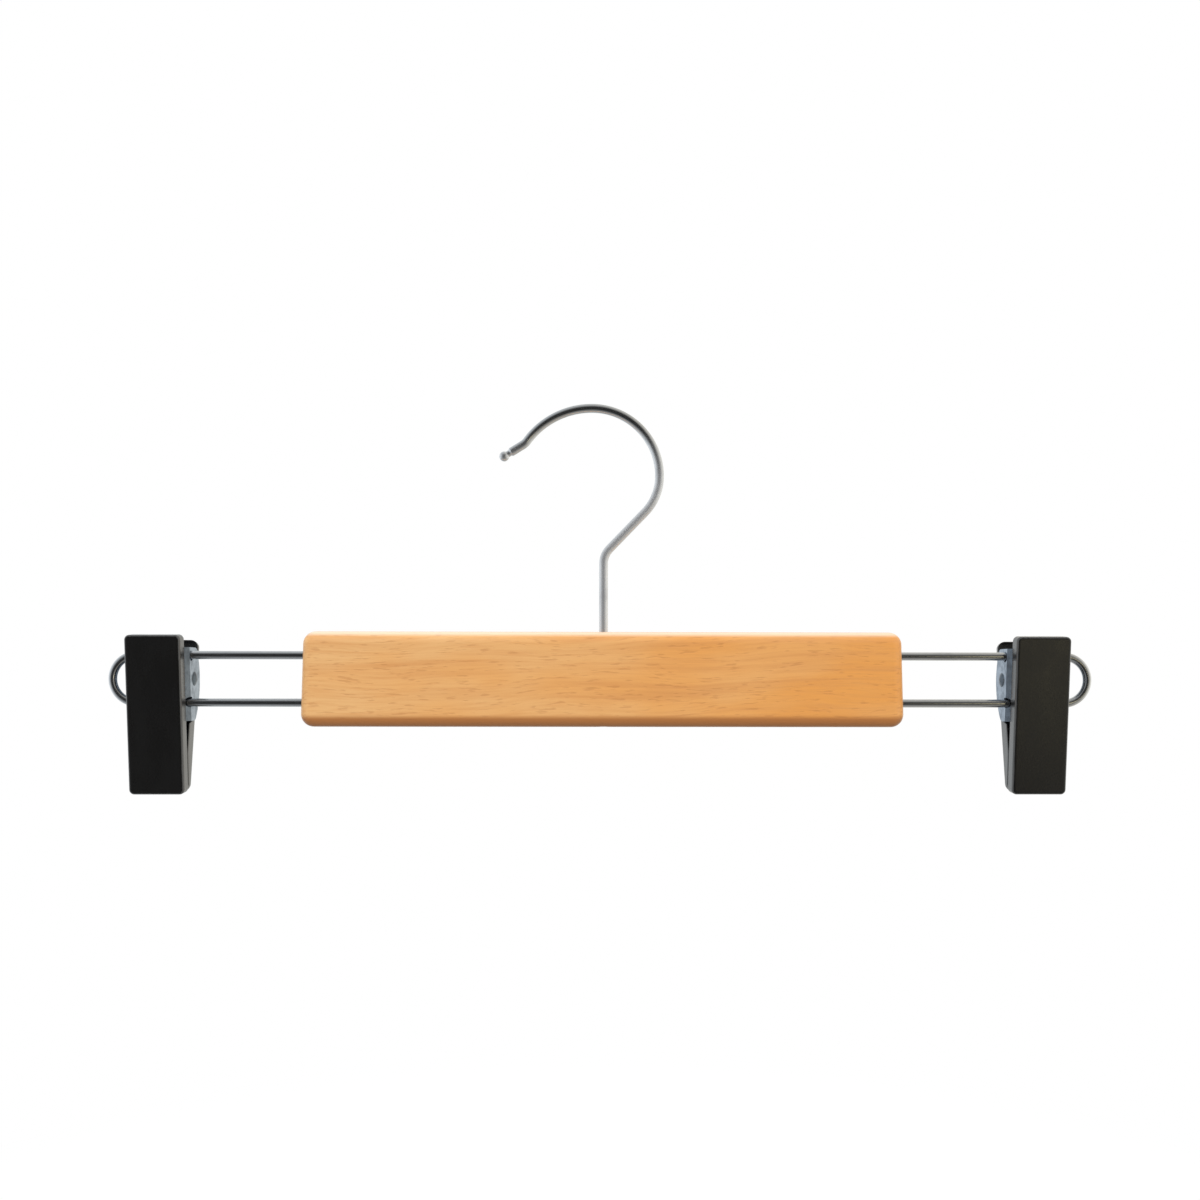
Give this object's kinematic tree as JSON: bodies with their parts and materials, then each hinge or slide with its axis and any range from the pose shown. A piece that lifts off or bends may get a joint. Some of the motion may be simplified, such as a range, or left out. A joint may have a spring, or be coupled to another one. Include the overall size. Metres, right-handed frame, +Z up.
{
  "type": "skirt hanger",
  "caption": "Wooden bar hanger with a swivelling wire hook and, on bent rods at its ends, sliding spring clips that hold a skirt or trousers by the waistband.",
  "frame": {"origin": "the hook's seat: on the axis of its stem, at the inside of the wire under the crown", "axes": "+X along the bar to the right as seen from the front, +Y to the back, +Z up"},
  "size_m": [0.356, 0.0217, 0.1412],
  "materials": {
    "beech": "clear satin lacquer",
    "chrome_wire": "polished",
    "zinc_steel": "zinc plated",
    "black_plastic": "satin",
    "grip_rubber": "matt",
    "spring_steel": "drawn wire"
  },
  "bodies": {
    "hook": {"swivel_hook": "chrome_wire"},
    "bar": {"wooden_bar": "beech", "hook_washer": "zinc_steel", "left_rod_loop": "chrome_wire", "right_rod_loop": "chrome_wire"},
    "left_clip": {"left_front_cover": "black_plastic", "left_front_jaw": "zinc_steel", "left_front_pad": "grip_rubber", "left_rivet": "zinc_steel", "left_spring": "spring_steel"},
    "left_lever": {"left_rear_cover": "black_plastic", "left_rear_jaw": "zinc_steel", "left_rear_pad": "grip_rubber"},
    "right_clip": {"right_front_cover": "black_plastic", "right_front_jaw": "zinc_steel", "right_front_pad": "grip_rubber", "right_rivet": "zinc_steel", "right_spring": "spring_steel"},
    "right_lever": {"right_rear_cover": "black_plastic", "right_rear_jaw": "zinc_steel", "right_rear_pad": "grip_rubber"}
  },
  "joints": [
    {"name": "bar_swivel", "type": "hinge", "parent": "hook", "child": "bar", "pos_m": [0, 0, -0.07911], "axis": [0, 0, 1], "continuous": true},
    {"name": "left_clip_slide", "type": "slide", "parent": "bar", "child": "left_clip", "axis": [1, 0, 0], "range_m": [0, 0.0389]},
    {"name": "left_clip_open", "type": "hinge", "parent": "left_clip", "child": "left_lever", "pos_m": [-0.1595, 0.0034, -0.09621], "axis": [1, 0, 0], "range_deg": [0, 22], "stiffness_Nm_per_rad": 0.25, "springref_deg": -45.84, "deforming": ["left_spring"]},
    {"name": "right_clip_slide", "type": "slide", "parent": "bar", "child": "right_clip", "axis": [-1, 0, 0], "range_m": [-0.002, 0.0369]},
    {"name": "right_clip_open", "type": "hinge", "parent": "right_clip", "child": "right_lever", "pos_m": [0.1575, 0.0034, -0.09621], "axis": [1, 0, 0], "range_deg": [0, 22], "stiffness_Nm_per_rad": 0.25, "springref_deg": -45.84, "deforming": ["right_spring"]}
  ]
}
